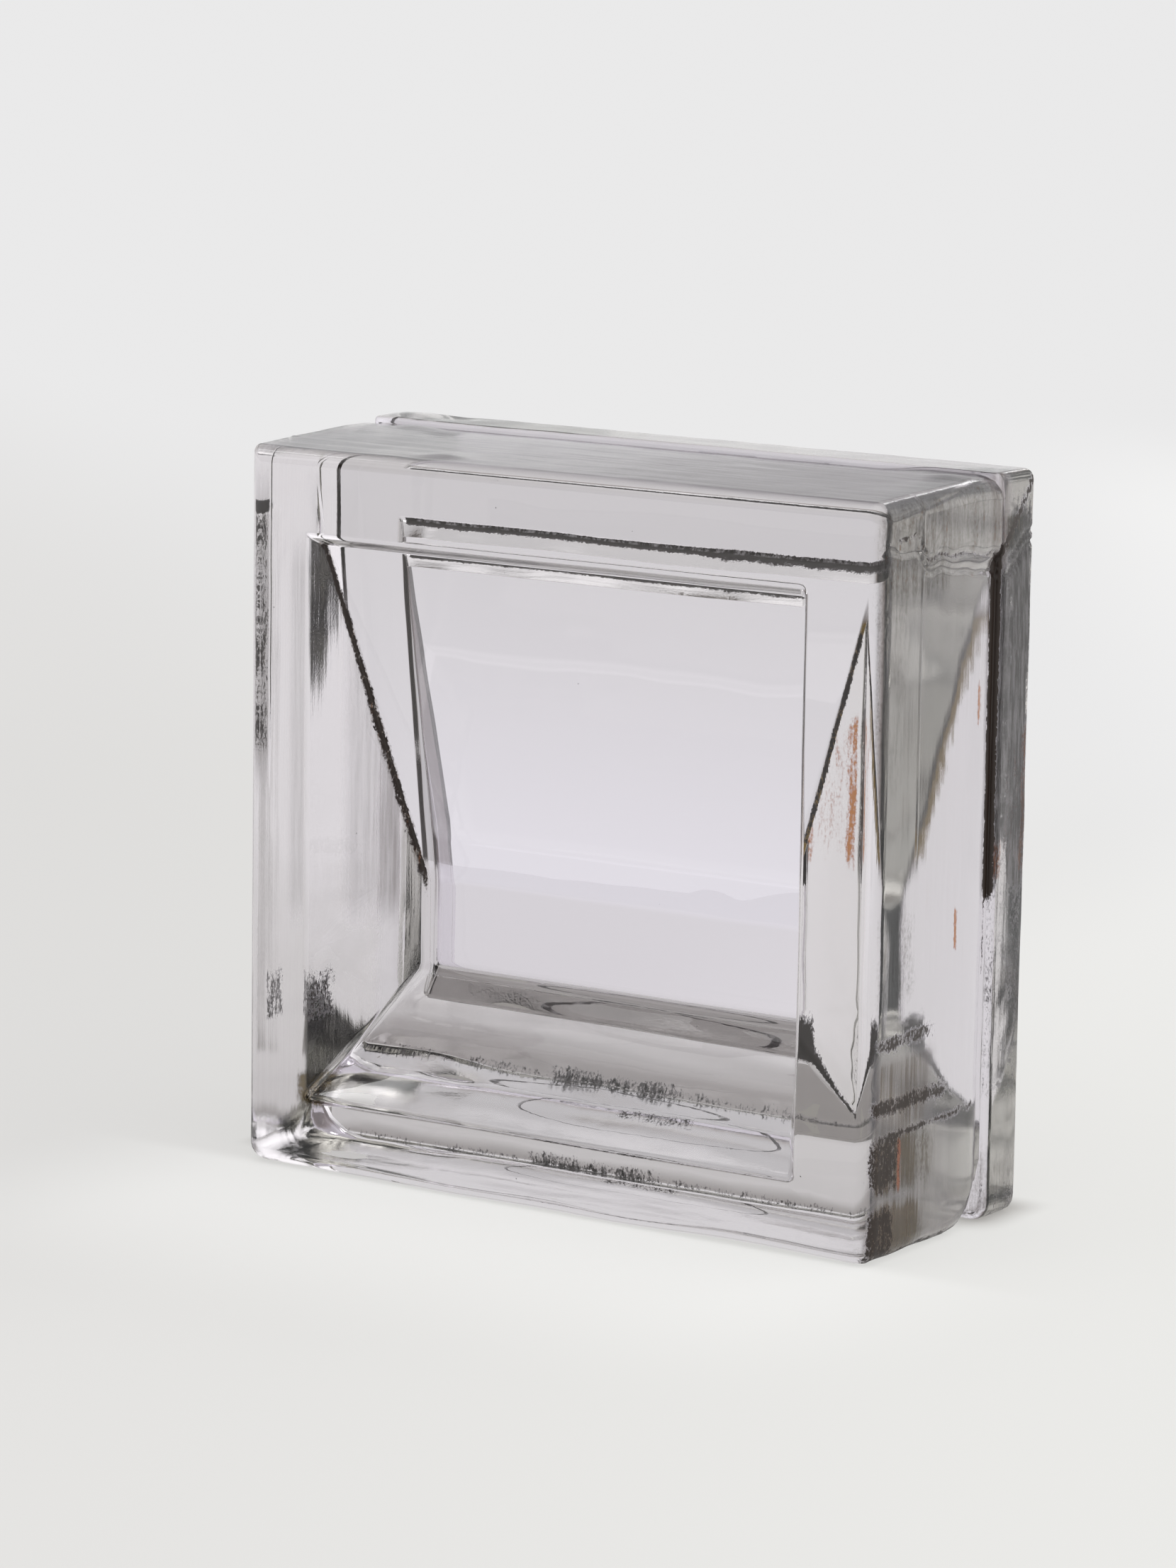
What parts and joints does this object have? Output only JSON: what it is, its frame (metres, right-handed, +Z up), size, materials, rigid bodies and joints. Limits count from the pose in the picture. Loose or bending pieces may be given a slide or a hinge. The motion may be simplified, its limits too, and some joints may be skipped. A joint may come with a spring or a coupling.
{
  "type": "pressed glass building block",
  "caption": "Square pressed glass block with a deep prism-shaped recess in each face and a keying collar round its back edge.",
  "frame": {"origin": "on the floor, under the middle of the block's bounding box", "axes": "+X across the block, +Y through it from the front face to the collar at the back, +Z up"},
  "size_m": [0.145, 0.055, 0.145],
  "materials": {
    "lilac_glass": "clear pressed glass with a faint lilac tint, gently wavy faces, small seed bubbles and brown rust stains on its edges"
  },
  "bodies": {
    "root": {"glass_block": "lilac_glass"}
  },
  "joints": []
}
